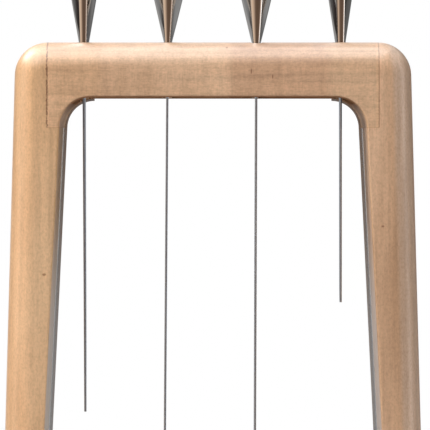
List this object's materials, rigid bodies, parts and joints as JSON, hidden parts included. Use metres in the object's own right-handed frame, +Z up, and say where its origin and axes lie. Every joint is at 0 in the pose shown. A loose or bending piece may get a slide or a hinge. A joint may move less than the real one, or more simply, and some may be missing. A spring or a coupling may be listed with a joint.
{
  "type": "knife stand",
  "caption": "Wooden arch that holds kitchen knives upright: the blades hang through slots in its top beam and the steel handles stand above it.",
  "frame": {"origin": "on the table, at the middle of the stand's footprint", "axes": "+Z up, +X to the right of someone facing the front, front towards -Y"},
  "size_m": [0.1526, 0.056, 0.3513],
  "materials": {
    "wood": "satin lacquered pale hardwood",
    "dowel_wood": "plain beech",
    "pad_rubber": "matte",
    "trim_steel": "satin",
    "blade_steel": "fine ground",
    "handle_steel": "mirror polished",
    "filler_resin": "cast resin"
  },
  "bodies": {
    "stand": {"top_beam": "wood", "left_leg": "wood", "right_leg": "wood", "left_edge_trim": "trim_steel", "right_edge_trim": "trim_steel", "front_left_dowel": "dowel_wood", "front_left_foot_pad": "pad_rubber", "back_left_dowel": "dowel_wood", "back_left_foot_pad": "pad_rubber", "front_right_dowel": "dowel_wood", "front_right_foot_pad": "pad_rubber", "back_right_dowel": "dowel_wood", "back_right_foot_pad": "pad_rubber"},
    "utility_knife": {"utility_blade": "blade_steel", "utility_bolster": "handle_steel", "utility_handle_shell": "handle_steel", "utility_handle_filler": "filler_resin", "utility_butt_cap": "handle_steel"},
    "bread_knife": {"bread_blade": "blade_steel", "bread_bolster": "handle_steel", "bread_handle_shell": "handle_steel", "bread_handle_filler": "filler_resin", "bread_butt_cap": "handle_steel"},
    "chef_knife": {"chef_blade": "blade_steel", "chef_bolster": "handle_steel", "chef_handle_shell": "handle_steel", "chef_handle_filler": "filler_resin", "chef_butt_cap": "handle_steel"},
    "paring_knife": {"paring_blade": "blade_steel", "paring_bolster": "handle_steel", "paring_handle_shell": "handle_steel", "paring_handle_filler": "filler_resin", "paring_butt_cap": "handle_steel"}
  },
  "joints": [
    {"name": "utility_knife_lift", "type": "slide", "parent": "stand", "child": "utility_knife", "axis": [-0.0049, 0, 1], "range_m": [0, 0.14]},
    {"name": "bread_knife_lift", "type": "slide", "parent": "stand", "child": "bread_knife", "axis": [0.0075, 0, 1], "range_m": [0, 0.212]},
    {"name": "chef_knife_lift", "type": "slide", "parent": "stand", "child": "chef_knife", "axis": [0.0037, 0, 1], "range_m": [0, 0.214]},
    {"name": "paring_knife_lift", "type": "slide", "parent": "stand", "child": "paring_knife", "axis": [0, 0, 1], "range_m": [0, 0.1]}
  ]
}
